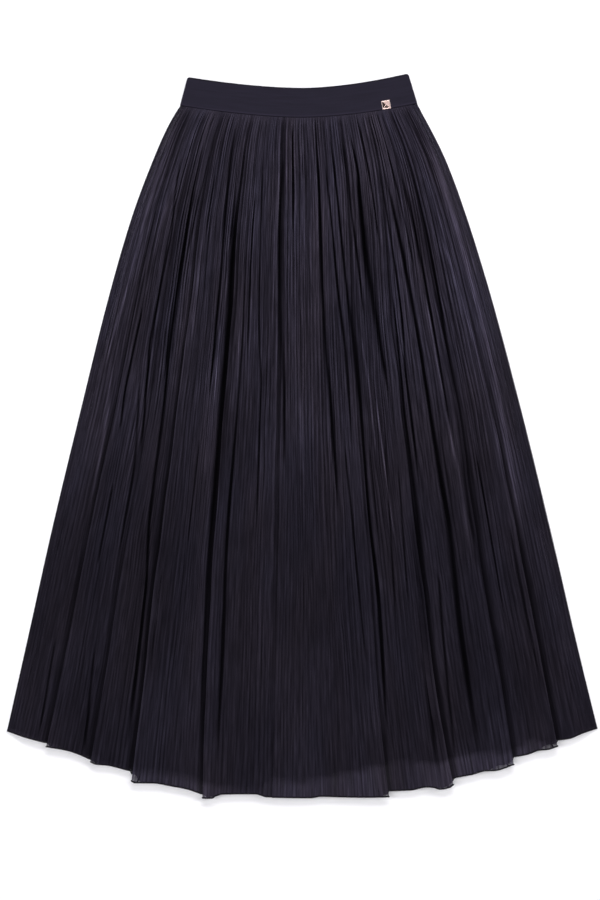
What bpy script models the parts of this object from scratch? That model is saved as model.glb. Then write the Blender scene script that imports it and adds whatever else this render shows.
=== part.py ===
"""A long gathered skirt of crinkle-pleated cloth, laid flat with its front up.

The skirt lies in the XY plane with its waist towards +Y and its hem towards -Y. Its back
panel rests on Z = 0, two lining panels lie on that, and the front panel lies on top. A
shaped waistband, front and back, closes the top, and one metal stud sits on it.
The tables are in millimetres, and the meshes are made in metres.
"""

import math
from collections import namedtuple

import bmesh
import bpy
import numpy as np

METRES = 0.001

# Cloth
WALL = 1.0
BAND_WALL = 2.2
SEAM_GAP = 0.3

# Waistband
BAND_HEIGHT = 43.0
BAND_CORNER = 3.0
BAND_SLACK = 1.0
BAND_COLUMNS = 31

# Stud
STUD_SIDE = 12.3
STUD_RIM = 1.1
STUD_PLATE = 1.0
STUD_PEAK = 2.8
STUD_FOOT_X = 122.5
STUD_UP = 6.6
STUD_GAP = 0.32
STUD_SLOPE_RUN = 0.01

# Stack of layers from the table up, away from the side edges
BACK_TOP_AT_SEAM = 1.6
BACK_TOP = 3.1
SIDE_ROLL = 0.035
FRONT_SEAT = 0.95

# Pleats
FRONT_PLEATS = 100
BACK_PLEATS = 80
PLEAT_WIDTHS = (0.7, 1.3)
CROWN_PLACES = (0.4, 0.6)
CROWN_SIZES = (0.6, 1.1)
BACK_FLAT_SHARE = 0.6
BACK_GROOVE = 1.5
BACK_HEM_RISE = 7.5
BACK_PLAIN_EDGE = 0.009
STEEPEST_GROOVE = 0.6
LAYER_STEP = 1.45
LAYER_STEP_AT_SEAM = 0.2
RAMP_WIDTH = 2.0
FOLD_MARGIN = 0.0078
PLATEAU_MARGIN = 5.0

# Lining
LINING_SHARE = 0.92
LINING_COLUMNS = 17

# How a row's middle sinks below its ends: the power of the distance from the centre line
SAG_POWER = 1.7

# How late the hem's own line takes over from the rows above it: the power of the drop
HEM_POWER = 4

# Rows of the skirt, from the waist seam to the hem. down is the drop at the centre front,
# left and right are the reach to either side edge, lift_left and lift_right say how much
# higher those edges lie than the middle, and pleat is the height of a pleat's crown.
Row = namedtuple("Row", "down left right lift_left lift_right pleat")
ROWS = (
    Row(0.35, 176.9, 166.8, 17.4, 20.3, 0.4),
    Row(12.0, 182.7, 171.8, 20.3, 21.7, 1.7),
    Row(39.0, 195.8, 184.9, 23.9, 24.7, 2.3),
    Row(90.0, 216.0, 207.4, 29.0, 29.7, 2.5),
    Row(177.0, 245.8, 236.4, 36.3, 37.7, 2.4),
    Row(307.0, 280.3, 272.6, 47.9, 49.3, 2.3),
    Row(481.0, 320.2, 315.1, 60.9, 62.4, 2.1),
    Row(670.0, 362.5, 358.2, 74.0, 75.4, 1.9),
    Row(844.0, 398.3, 395.9, 87.0, 88.5, 1.8),
    Row(983.0, 427.8, 427.8, 95.0, 98.6, 1.7),
)
SEAM, HEM = ROWS[0], ROWS[-1]
LINING_HEM = Row(948.0, 419.8, 418.9, 93.0, 95.0, 0.0)

# The back panel and the linings need fewer rows.
BACK_ROWS = (ROWS[0], ROWS[1], ROWS[3], ROWS[5], ROWS[6], ROWS[8], ROWS[9])
LINING_ROWS = (ROWS[0], ROWS[1], ROWS[3], ROWS[5], ROWS[7], LINING_HEM)

# Upper edge of the waistband, with the height of its centre above the seam.
BAND_TOP = Row(-BAND_HEIGHT, 166.2, 153.7, 15.4, 20.3, 0.0)

# Large folds that lap over their neighbours, from left to right. at is the place as a share
# of the width, faces is the way the folded edge looks (-1 left, 1 right), lap is the overlap
# at the hem, starts is the row where the overlap begins, over and under are how far the hem
# of the upper and the lower layer hangs below the plain hem line, and fade is the share of
# the panel over which the upper layer's hem comes back to that line.
Fold = namedtuple("Fold", "at faces lap starts over under fade")
FOLDS = (
    Fold(0.068, -1, 9.0, ROWS[6], 4.0, -2.8, 1.0),
    Fold(0.143, -1, 11.0, ROWS[7], 4.8, 0.0, 0.8),
    Fold(0.212, -1, 15.0, ROWS[5], 15.0, 0.0, 1.0),
    Fold(0.332, -1, 13.0, ROWS[3], 15.0, 8.5, 0.4),
    Fold(0.450, -1, 8.0, ROWS[7], 1.5, -1.2, 0.5),
    Fold(0.646, 1, 15.0, ROWS[4], 11.6, 4.0, 0.8),
    Fold(0.755, 1, 13.0, ROWS[5], 15.5, 4.6, 0.7),
    Fold(0.857, 1, 15.0, ROWS[4], 9.1, -3.2, 0.8),
    Fold(0.931, 1, 11.0, ROWS[6], 3.5, -5.7, 0.9),
)

# Deep creases of the front that fade out above the hem: place, first and last drop, depth.
Crease = namedtuple("Crease", "at first last depth")
CREASES = (
    Crease(0.105, 120.0, 560.0, 0.8),
    Crease(0.175, 20.0, 620.0, 1.1),
    Crease(0.262, 15.0, 430.0, 0.9),
    Crease(0.352, 90.0, 800.0, 1.1),
    Crease(0.410, 30.0, 520.0, 0.8),
    Crease(0.505, 25.0, 640.0, 1.1),
    Crease(0.562, 60.0, 500.0, 0.9),
    Crease(0.604, 20.0, 600.0, 1.2),
    Crease(0.705, 40.0, 560.0, 0.9),
    Crease(0.800, 110.0, 860.0, 1.2),
    Crease(0.905, 60.0, 540.0, 0.8),
    Crease(0.966, 150.0, 700.0, 0.7),
)
CREASE_WIDTH = 0.016
BILLOW = 1.2
BILLOW_RUN = 0.02
BILLOW_START = 60.0

# Steps of three low-discrepancy sequences that make the pleats uneven
WIDTH_STEP, CROWN_STEP, HEIGHT_STEP = 0.6180, 0.7549, 0.5698

Finish = namedtuple("Finish", "colour roughness metallic")
CLOTH_FINISH = Finish((0.021, 0.018, 0.029), 0.5, 0.0)
LINING_FINISH = Finish((0.010, 0.010, 0.015), 0.6, 0.0)
BAND_FINISH = Finish((0.023, 0.020, 0.033), 0.6, 0.0)
METAL_FINISH = Finish((0.80, 0.62, 0.57), 0.25, 1.0)

# One column of the front panel. across is its place as a share of the width, and corner
# says which of a large fold's four corners it is, from the lower layer to the upper one.
# crown is the share of the pleat height, and drop is how far the hem hangs there.
Column = namedtuple("Column", "across fold corner crown drop")

# One column of the back panel. groove is 1 where a groove between two flat pleats is deepest,
# and width is the share of the panel that the pleat beside it takes.
BackColumn = namedtuple("BackColumn", "across groove width")

# Where the corners of a large fold stand on its lapped part: the share of the overlap and
# the number of layers below.
LAPPED_SHIFT = (1.0, 1.0, 0.0, 0.0)
LAPPED_LEVEL = (0.0, 1.0, 1.0, 2.0)
LAST_CORNER = 3
LAYERS_UP = 2


def clear_scene():
    for old in list(bpy.data.objects):
        bpy.data.objects.remove(old, do_unlink=True)


def ease(share):
    """0 to 1 with a soft start and end."""
    share = min(1.0, max(0.0, share))
    return share * share * (3.0 - 2.0 * share)


def uneven(index, step, low, high):
    """An evenly mixed value from low to high for each index."""
    return low + (high - low) * ((index + 1) * step % 1.0)


def outline(row, across, shift=0.0):
    """X and Y on a row, at a share of its width, moved sideways by shift."""
    x = -row.left + (row.left + row.right) * across + shift
    reach, lift = (row.left, row.lift_left) if x < 0 else (row.right, row.lift_right)
    return x, -row.down + lift * (abs(x) / reach) ** SAG_POWER


def rolled(across):
    """1 inside, falling to 0 at the side edges, where the layers come together."""
    return ease(min(across, 1.0 - across) / SIDE_ROLL)


def back_top(row):
    """Highest point of the back panel on a row, away from its side edges."""
    return BACK_TOP_AT_SEAM if row is SEAM else BACK_TOP


def lining_height(row, layer):
    """Middle of a lining wall: layer 0 is the back lining and layer 1 the front lining."""
    return back_top(row) + SEAM_GAP + WALL / 2 + layer * (WALL + SEAM_GAP)


def front_floor(row, across):
    """The height that the front panel stays above."""
    side = WALL + SEAM_GAP
    middle = lining_height(row, 1) + WALL / 2 + SEAM_GAP
    return side + (middle - side) * rolled(across)


def layer_step(fold, row):
    """Height from one layer of a large fold to the next."""
    grown = ease(row.down / fold.starts.down)
    return LAYER_STEP_AT_SEAM + (LAYER_STEP - LAYER_STEP_AT_SEAM) * grown


def overlap(fold, row):
    """How far a large fold laps at a row."""
    return fold.lap * ease((row.down - fold.starts.down) / (HEM.down - fold.starts.down))


def corner_place(fold, corner, row):
    """Sideways shift and height above the lower layer of one corner of a large fold.

    Above its start the fold is a ramp, which steepens until it stands upright there. Below,
    the cloth turns back under itself and out again.
    """
    if row.down > fold.starts.down:
        shift = LAPPED_SHIFT[corner] * overlap(fold, row)
        level = LAPPED_LEVEL[corner]
    else:
        steep = ease(row.down / fold.starts.down)
        share = corner / LAST_CORNER
        shift = RAMP_WIDTH * (1.0 - steep) * (share - 0.5)
        level = LAYERS_UP * share
    return -fold.faces * shift, level * layer_step(fold, row)


def creased(row, across):
    """How far the deep creases pull the cloth down between the large folds."""
    pull = 0.0
    for crease in CREASES:
        length = crease.last - crease.first
        along = math.sin(math.pi * min(1.0, max(0.0, (row.down - crease.first) / length)))
        near = math.exp(-(((across - crease.at) / CREASE_WIDTH) ** 2))
        pull += crease.depth * along * near
    return pull


def raised(row, across):
    """How far the cloth between two large folds stands above the lower layer."""
    width = row.left + row.right
    first = max((f for f in FOLDS if f.at <= across), key=lambda f: f.at, default=None)
    last = min((f for f in FOLDS if f.at > across), key=lambda f: f.at, default=None)
    start = first.at if first else 0.0
    end = last.at if last else 1.0
    rise = 0.0
    for fold, edge in ((first, start), (last, end)):
        if fold is None or (fold.faces < 0) != (fold is first):
            continue
        flat = (overlap(fold, row) + PLATEAU_MARGIN) / width
        gone = (abs(across - edge) - flat) / (end - start - flat)
        rise = max(rise, LAYERS_UP * layer_step(fold, row) * ease(1.0 - gone))
    clear = ease((min(across - start, end - across) - FOLD_MARGIN) / BILLOW_RUN)
    grown = ease(row.down / BILLOW_START) * clear * rolled(across)
    return rise + max(0.0, BILLOW - creased(row, across)) * grown


def hem_drop(start, end, first, last, across):
    """How far the hem hangs below its plain line between two large folds."""
    drop = 0.0
    for fold, edge in ((first, start), (last, end)):
        if fold is None:
            continue
        upper = (fold.faces < 0) == (fold is first)
        reach = fold.fade if upper else 1.0
        share = 1.0 - abs(across - edge) / (end - start) / reach
        drop += (fold.over if upper else fold.under) * ease(share)
    return drop


def pleat_columns(start, end, first, last, count, number):
    """Valleys and crowns of the pleats between two large folds."""
    low = start + (FOLD_MARGIN if first else 0.0)
    high = end - (FOLD_MARGIN if last else 0.0)
    widths = [uneven(number + i, WIDTH_STEP, *PLEAT_WIDTHS) for i in range(count)]
    edges = np.concatenate(([0.0], np.cumsum(widths))) / sum(widths)
    edges = low + (high - low) * edges
    columns = []
    for i in range(count):
        peak = uneven(number + i, CROWN_STEP, *CROWN_PLACES)
        crown = uneven(number + i, HEIGHT_STEP, *CROWN_SIZES)
        middle = edges[i] + (edges[i + 1] - edges[i]) * peak
        for across, size in ((edges[i], 0.0), (middle, crown)):
            drop = hem_drop(start, end, first, last, across)
            columns.append(Column(across, None, 0, size, drop))
    drop = hem_drop(start, end, first, last, high)
    columns.append(Column(high, None, 0, 0.0, drop))
    return columns


def fold_columns(fold):
    """The four columns where the cloth turns back under itself and out again."""
    half = (fold.over + fold.under) / 2
    drops = (half, half, fold.over, fold.over)
    columns = [Column(fold.at, fold, i, 0.0, drop) for i, drop in enumerate(drops)]
    return columns if fold.faces < 0 else columns[::-1]


def front_columns():
    """All columns of the front panel, from its left edge to its right edge."""
    bounds = [None, *FOLDS, None]
    columns = []
    number = 0
    for first, last in zip(bounds, bounds[1:]):
        start = first.at if first else 0.0
        end = last.at if last else 1.0
        count = round(FRONT_PLEATS * (end - start))
        columns += pleat_columns(start, end, first, last, count, number)
        number += count
        if last:
            columns += fold_columns(last)
    return columns


def front_point(row, column):
    """Place of a column of the front panel on a row, in the middle of its wall."""
    inside = rolled(column.across)
    if column.fold:
        shift, height = corner_place(column.fold, column.corner, row)
    else:
        shift = 0.0
        height = raised(row, column.across) + column.crown * row.pleat * inside
    x, y = outline(row, column.across, shift)
    y -= column.drop * (row.down / HEM.down) ** HEM_POWER
    seat = WALL / 2 + (FRONT_SEAT - WALL / 2) * inside
    return x, y, front_floor(row, column.across) + seat + height


def back_columns():
    """All columns of the back panel, from its left edge to its right edge."""
    widths = [uneven(i, WIDTH_STEP, *PLEAT_WIDTHS) for i in range(BACK_PLEATS)]
    edges = np.concatenate(([0.0], np.cumsum(widths))) / sum(widths)
    columns = []
    for start, end in zip(edges, edges[1:]):
        width = end - start
        columns.append(BackColumn(start, 0, width))
        columns.append(BackColumn(start + width * BACK_FLAT_SHARE, 0, width))
        if end < 1.0 - BACK_PLAIN_EDGE:
            columns.append(BackColumn(start + width * (1 + BACK_FLAT_SHARE) / 2, 1, width))
    columns[-1] = BackColumn(1.0, 0, 0.0)
    return columns


def back_point(row, column):
    """Place of a column of the back panel on a row, in the middle of its wall."""
    x, y = outline(row, column.across)
    inside = rolled(column.across)
    y += BACK_HEM_RISE * inside * (row.down / HEM.down) ** HEM_POWER
    mouth = column.width * (1 - BACK_FLAT_SHARE) * (row.left + row.right)
    deepest = BACK_GROOVE if row is not SEAM else row.pleat
    depth = min(deepest, STEEPEST_GROOVE * mouth) * inside
    return x, y, WALL / 2 + column.groove * depth


def lining_point(row, across, layer):
    """Place on a lining panel, narrower than the skirt."""
    x, y = outline(row, 0.5 + (across - 0.5) * LINING_SHARE)
    return x, y, lining_height(row, layer)


def band_height(share, layer):
    """Middle of a waistband wall: share is 0 at the seam and 1 at the upper edge."""
    lower = BAND_WALL / 2
    if layer == 0:
        return lower
    return lower + BAND_WALL + SEAM_GAP + BAND_SLACK * (1.0 - share)


def band_point(share, across, layer):
    """Place on a waistband wall. The two top corners are cut back a little."""
    corner = BAND_CORNER if share == 1.0 else 0.0
    mix = [low + (high - low) * share for low, high in zip(SEAM, BAND_TOP)]
    row = Row(*mix)
    row = row._replace(down=-BAND_HEIGHT * share)
    x, y = outline(row, across)
    reach = row.left if x < 0 else row.right
    return x * (1 - corner / reach), y, band_height(share, layer)


def cloth_wall(name, rows, thickness, material):
    """A wall of cloth through rows of points that run from left to right."""
    surface = bmesh.new()
    grid = [[surface.verts.new([METRES * value for value in point]) for point in row] for row in rows]
    for upper, lower in zip(grid, grid[1:]):
        for i in range(len(upper) - 1):
            surface.faces.new((upper[i], lower[i], lower[i + 1], upper[i + 1]))
    mesh = bpy.data.meshes.new(name)
    surface.to_mesh(mesh)
    surface.free()
    cloth = add_object(name, mesh, material)
    wall = cloth.modifiers.new("wall", "SOLIDIFY")
    wall.thickness = thickness * METRES
    wall.offset = 0.0
    wall.use_even_offset = True
    wall.use_quality_normals = True
    return cloth


def add_object(name, mesh, material):
    mesh.materials.append(material)
    thing = bpy.data.objects.new(name, mesh)
    bpy.data.collections["skirt"].objects.link(thing)
    return thing


def stud_mesh():
    """A square plate with a rim and a four-sided peak."""
    shape = bmesh.new()
    bmesh.ops.create_cube(shape, size=1.0)
    bmesh.ops.scale(shape, vec=(STUD_SIDE, STUD_SIDE, STUD_PLATE), verts=shape.verts)
    top = max(shape.faces, key=lambda face: face.calc_center_median().z)
    bmesh.ops.inset_individual(shape, faces=[top], thickness=STUD_RIM)
    bmesh.ops.poke(shape, faces=[top], offset=STUD_PEAK)
    bmesh.ops.translate(shape, vec=(0, 0, STUD_PLATE / 2), verts=shape.verts)
    bmesh.ops.scale(shape, vec=(METRES,) * 3, verts=shape.verts)
    mesh = bpy.data.meshes.new("stud")
    shape.to_mesh(mesh)
    shape.free()
    return mesh


def add_stud(material):
    """The stud, level with the band's edge and tilted with its face."""
    stud = add_object("stud", stud_mesh(), material)
    across = (STUD_FOOT_X + SEAM.left) / (SEAM.left + SEAM.right)
    foot = band_point(0.0, across, 1)
    beside = band_point(0.0, across + STUD_SLOPE_RUN, 1)
    turn = math.atan2(beside[1] - foot[1], beside[0] - foot[0])
    tilt = math.atan2(BAND_SLACK, BAND_HEIGHT)
    x = foot[0] - STUD_UP * math.sin(turn)
    y = foot[1] + STUD_UP * math.cos(turn)
    z = band_height(STUD_UP / BAND_HEIGHT, 1) + BAND_WALL / 2 + STUD_GAP
    stud.location = (x * METRES, y * METRES, z * METRES)
    stud.rotation_euler = (-tilt, 0.0, turn)


def plain_material(name, finish):
    material = bpy.data.materials.new(name)
    material.use_nodes = True
    shader = material.node_tree.nodes["Principled BSDF"]
    shader.inputs["Base Color"].default_value = (*finish.colour, 1.0)
    shader.inputs["Roughness"].default_value = finish.roughness
    shader.inputs["Metallic"].default_value = finish.metallic
    return material


def add_skirt_panels():
    columns = front_columns()
    rows = [[front_point(row, column) for column in columns] for row in ROWS]
    cloth_wall("skirt_front", rows, WALL, plain_material("front_cloth", CLOTH_FINISH))
    columns = back_columns()
    rows = [[back_point(row, column) for column in columns] for row in BACK_ROWS]
    cloth_wall("skirt_back", rows, WALL, plain_material("back_cloth", CLOTH_FINISH))


def add_linings():
    places = np.linspace(0.0, 1.0, LINING_COLUMNS)
    for layer, name in enumerate(("lining_back", "lining_front")):
        rows = [[lining_point(row, across, layer) for across in places] for row in LINING_ROWS]
        cloth_wall(name, rows, WALL, plain_material(name, LINING_FINISH))


def add_waistband():
    places = np.linspace(0.0, 1.0, BAND_COLUMNS)
    for layer, name in enumerate(("waistband_back", "waistband_front")):
        shares = (1.0, 1.0 - BAND_CORNER / BAND_HEIGHT, 0.5, 0.0)
        rows = [[band_point(share, across, layer) for across in places] for share in shares]
        cloth_wall(name, rows, BAND_WALL, plain_material(name, BAND_FINISH))


def centre_on_origin():
    """Parents every piece to an empty that puts the middle of the outline over the origin."""
    pieces = list(bpy.data.collections["skirt"].objects)
    bpy.context.view_layer.update()
    corners = [piece.matrix_world @ v.co for piece in pieces for v in piece.data.vertices]
    middle = [(min(c[i] for c in corners) + max(c[i] for c in corners)) / 2 for i in (0, 1)]
    centre = bpy.data.objects.new("skirt_centre", None)
    bpy.data.collections["skirt"].objects.link(centre)
    centre.location = (-middle[0], -middle[1], 0.0)
    for piece in pieces:
        piece.parent = centre


def main():
    clear_scene()
    bpy.context.scene.collection.children.link(bpy.data.collections.new("skirt"))
    add_skirt_panels()
    add_linings()
    add_waistband()
    add_stud(plain_material("stud_metal", METAL_FINISH))
    centre_on_origin()


main()
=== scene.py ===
"""Looks of a long crinkle-pleated skirt that lies flat with its front up.

The front and back panels, the linings, the waistband and the stud of the CAD model are
replaced by finer pieces in the same places. Lengths are in millimetres until a mesh is
made. down is the distance below the waist seam at the centre front, and across is the
place from the left edge (0) to the right edge (1) of a panel.
"""

import math
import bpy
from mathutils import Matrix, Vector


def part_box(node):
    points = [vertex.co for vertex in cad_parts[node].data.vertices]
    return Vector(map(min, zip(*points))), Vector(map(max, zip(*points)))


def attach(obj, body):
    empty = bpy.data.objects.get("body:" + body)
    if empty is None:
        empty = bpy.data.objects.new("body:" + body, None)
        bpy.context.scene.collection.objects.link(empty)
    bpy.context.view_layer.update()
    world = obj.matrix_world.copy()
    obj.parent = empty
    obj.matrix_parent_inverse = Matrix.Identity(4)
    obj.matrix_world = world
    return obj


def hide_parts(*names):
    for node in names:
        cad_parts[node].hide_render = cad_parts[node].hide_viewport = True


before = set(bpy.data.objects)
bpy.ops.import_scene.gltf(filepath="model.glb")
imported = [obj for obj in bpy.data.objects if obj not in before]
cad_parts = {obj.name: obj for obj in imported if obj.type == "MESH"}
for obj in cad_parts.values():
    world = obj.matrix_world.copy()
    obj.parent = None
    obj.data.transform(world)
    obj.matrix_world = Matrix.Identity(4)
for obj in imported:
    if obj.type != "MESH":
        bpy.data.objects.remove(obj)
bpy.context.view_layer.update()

from collections import namedtuple

import bmesh
import bpy
import numpy as np
from mathutils import Vector

METRES = 0.001

# Rows of the skirt, as in the CAD model: reach to the left and right edge, how much higher
# those edges lie than the middle, and the height of a pleat.
Row = namedtuple("Row", "down left right lift_left lift_right pleat")
ROWS = (
    Row(0.35, 176.9, 166.8, 17.4, 20.3, 0.4),
    Row(12, 182.7, 171.8, 20.3, 21.7, 1.7),
    Row(39, 195.8, 184.9, 23.9, 24.7, 2.3),
    Row(90, 216, 207.4, 29, 29.7, 2.5),
    Row(177, 245.8, 236.4, 36.3, 37.7, 2.4),
    Row(307, 280.3, 272.6, 47.9, 49.3, 2.3),
    Row(481, 320.2, 315.1, 60.9, 62.4, 2.1),
    Row(670, 362.5, 358.2, 74, 75.4, 1.9),
    Row(844, 398.3, 395.9, 87, 88.5, 1.8),
    Row(983, 427.8, 427.8, 95, 98.6, 1.7),
)
SEAM, HEM = ROWS[0], ROWS[-1]
EDGE_FIELDS = ("left", "right", "lift_left", "lift_right")
HEM_WIDTH = HEM.left + HEM.right
SAG_POWER = 1.7

# Large folds, as in the CAD model, from left to right. seat is the height of the lower layer
# beside the fold, step the height of one layer, and sway the bend at half length. STRETCHES
# are the stretches between them, each by the folds at its left and right end.
Fold = namedtuple("Fold", "at faces lap starts seat step sway")
FOLDS = (
    Fold(0.068, -1, 9, 481, 1.2, 1, 0.004),
    Fold(0.143, -1, 11, 670, 1.7, 0.6, 0.003),
    Fold(0.212, -1, 15, 307, 0.8, 1.3, 0.002),
    Fold(0.332, -1, 13, 90, 0.6, 1.3, -0.012),
    Fold(0.450, -1, 8, 670, 2, 0.4, 0.004),
    Fold(0.646, 1, 15, 177, 1.5, 0.8, -0.010),
    Fold(0.755, 1, 13, 307, 0.8, 1.1, -0.020),
    Fold(0.857, 1, 15, 177, 1, 1.2, 0.004),
    Fold(0.931, 1, 11, 481, 1.2, 1.1, 0.006),
)
STRETCHES = tuple(zip((None, *FOLDS), (*FOLDS, None)))
SWAY_RUN = 0.06
FOLD_MARGIN = 0.0078
LAYER_STEP_AT_SEAM = 0.2
RAMP_WIDTH = 2.4
TURN_RUN = 60.0
EDGE_BULGE = 0.6

# Points round a large fold, from the lower layer to the upper one: share of the overlap,
# layers below, and how far the turn bulges out past it.
Turn = namedtuple("Turn", "shift level bulge")
TURNS = (
    Turn(1, 0, 0), Turn(1, 0.5, -1), Turn(1, 1, 0), Turn(0.5, 1, 0), Turn(0, 1, 0),
    Turn(0, 1.15, 0.7), Turn(0, 1.5, 1), Turn(0, 1.85, 0.7), Turn(0, 2, 0),
)

# Creases of the front, darkened by painted shade, and thin raised ridges, lightened by a
# painted highlight: depth, below 0 for thin raised ridges, and the stops that each runs
# through, by drop, place across the skirt at that drop in thousandths, and half width
CREASES = (
    (3.4, ((90, 62, 1.6), (180, 69, 1.8))),
    (2.6, ((250, 76, 1.5), (420, 80, 1.5))),
    (3.4, ((310, 91, 2), (430, 88, 2.2), (500, 95, 1.6))),
    (2.2, ((580, 101, 2), (700, 100, 2))),
    (4.6, (
        (70, 86, 1.4), (130, 104, 1.8), (200, 125, 2.2), (350, 125, 2.4), (410, 133, 2.6),
        (560, 153, 1.8),
    )),
    (2.4, ((420, 118, 1.8), (560, 138, 3), (680, 137, 2.6))),
    (2.4, ((820, 119, 2), (975, 130, 3.4))),
    (4.8, (
        (30, 149, 1.6), (120, 157, 1.8), (200, 167, 3), (350, 172, 4.4), (450, 182, 3.2), (600, 185, 3),
        (720, 197, 2.6), (975, 200, 4),
    )),
    (2.8, ((60, 182, 1.5), (230, 181, 1.6))),
    (3.2, ((100, 216, 1.6), (190, 224, 1.6))),
    (2.0, ((680, 223, 2), (820, 221, 2))),
    (4.6, ((15, 252, 2.2), (80, 259, 2.6), (160, 272, 3), (250, 282, 2.8), (430, 284, 1.8))),
    (2.4, ((60, 281, 1.4), (180, 296, 1.6), (420, 281, 1.4))),
    (2.0, ((480, 271, 1.5), (640, 268, 1.5))),
    (6.0, (
        (90, 303, 2.2), (160, 305, 4.2), (250, 311, 5.2), (300, 316, 6.4), (450, 314, 5.2),
        (600, 315, 5.6), (720, 318, 5), (860, 323, 5), (975, 327, 3),
    )),
    (4.0, (
        (90, 336, 1.4), (200, 346, 1.8), (350, 353, 2.2), (600, 347, 3.2), (780, 352, 4.4),
        (960, 353, 2.8),
    )),
    (3.6, ((120, 357, 1.4), (250, 363, 1.8), (350, 367, 1.3))),
    (3.0, ((60, 370, 1.5), (160, 383, 1.5), (300, 393, 1.8), (400, 405, 1.8), (620, 406, 1.4))),
    (5.0, (
        (40, 444, 2.2), (120, 441, 3.2), (200, 444, 4.6), (300, 450, 4.6), (400, 461, 3),
        (520, 464, 1.8),
    )),
    (4.0, ((12, 476, 1.8), (100, 479, 2.2), (170, 482, 1.4))),
    (5.4, (
        (30, 565, 2.2), (120, 566, 2.8), (250, 564, 3.6), (350, 567, 3.6), (420, 574, 5),
        (580, 581, 1.6),
    )),
    (4.2, ((60, 590, 2), (160, 601, 1.6), (250, 606, 2.4), (350, 616, 3), (480, 618, 1.6))),
    (2.6, ((470, 600, 2), (600, 610, 2.4), (800, 622, 2))),
    (5.4, (
        (15, 621, 1.8), (120, 624, 2), (250, 631, 3), (350, 639, 5.6), (450, 643, 3.6), (560, 644, 2.4),
        (720, 653, 3.6), (920, 650, 2.4),
    )),
    (4.2, ((30, 668, 1.8), (120, 663, 2.6), (200, 668, 2.4), (310, 671, 1.6))),
    (2.0, ((480, 657, 2), (620, 661, 1.6))),
    (2.2, ((470, 692, 2), (760, 682, 1.6))),
    (5.8, (
        (20, 700, 1.8), (80, 702, 2.4), (120, 695, 3.8), (200, 693, 6), (300, 702, 5.6),
        (430, 713, 2.4),
    )),
    (2.2, ((520, 716, 1.6), (720, 709, 2.2))),
    (4.0, ((15, 744, 1.8), (80, 739, 2), (190, 736, 1.6))),
    (5.2, (
        (250, 752, 1.6), (350, 748, 2), (450, 742, 3), (600, 742, 6), (720, 739, 7), (840, 733, 6),
        (975, 731, 3),
    )),
    (4.0, ((80, 773, 2.6), (200, 771, 1.8), (300, 768, 1.8), (400, 758, 2), (560, 757, 1.6))),
    (2.4, ((680, 774, 2.4), (780, 768, 3), (975, 762, 2.6))),
    (5.6, (
        (80, 789, 2), (200, 797, 3.2), (350, 801, 3.4), (550, 803, 4.2), (620, 806, 5.6),
        (780, 802, 5.6), (980, 803, 4.4),
    )),
    (3.0, ((60, 817, 1.5), (240, 822, 1.6))),
    (4.2, ((90, 844, 3.6), (200, 844, 3.4), (350, 842, 2.2), (500, 841, 1.6))),
    (4.8, (
        (50, 879, 1.6), (160, 877, 2), (210, 875, 3.2), (350, 867, 2.6), (500, 860, 2.6), (600, 854, 4),
        (740, 858, 2.6), (930, 861, 2.4),
    )),
    (2.6, ((520, 886, 1.6), (780, 884, 1.6))),
    (2.4, ((640, 925, 2), (740, 924, 3.4), (900, 928, 2.4))),
    (2.0, ((820, 48, 2.4), (970, 53, 2))),
    (-1.4, ((140, 37, 2.2), (250, 42, 2.4), (430, 30, 2))),
    (-1.2, ((400, 46, 2), (500, 60, 4.4), (720, 72, 3))),
    (-1.2, ((140, 88, 3.6), (230, 87, 2.4))),
    (-1.2, ((180, 215, 2), (330, 223, 2.4))),
    (-2.0, ((310, 293, 1.8), (430, 296, 1.8))),
    (-1.4, ((320, 345, 2), (390, 346, 2.4))),
    (-1.2, ((70, 428, 1.5), (200, 429, 1.8), (350, 426, 1.6))),
    (-1.2, ((80, 511, 3), (200, 518, 2.2))),
    (-1.4, ((410, 499, 5), (540, 508, 3))),
    (-1.2, ((80, 557, 2), (200, 556, 1.8))),
    (-1.8, ((330, 659, 1.5), (400, 667, 2), (500, 670, 1.8))),
    (-3.0, ((420, 680, 1.6), (460, 683, 1.7), (620, 693, 1.5))),
    (-1.6, ((270, 835, 2.2), (450, 836, 2), (560, 842, 3), (690, 840, 2.4))),
    (-1.4, ((190, 910, 2), (250, 919, 3.6), (470, 939, 2.6), (580, 926, 2.6))),
    (-1.8, ((70, 970, 3), (160, 961, 6), (350, 962, 4.4), (500, 955, 5.4), (700, 940, 5))),
)
FADE_IN, FADE_OUT = 0.10, 0.16
CREASE_NARROWING = 0.72
CREASE_DEPTH = 0.6
# Painted shade in the creases, weaker lower down, a painted highlight on raised ridges, and how uneven
# the painted shade and the crease depth are
DARKEST = 0.92
PALER_FROM, PALER_RUN, PALER = 430.0, 350.0, 0.34
DEPTH_OF_DARKEST = 5.2
RIDGE_PAINTED_HIGHLIGHT = 0.42
UNEVEN_MIDDLE, UNEVEN_CREASE_SHADE, UNEVEN_DEPTH = 0.9, 0.2, 0.4
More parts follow.
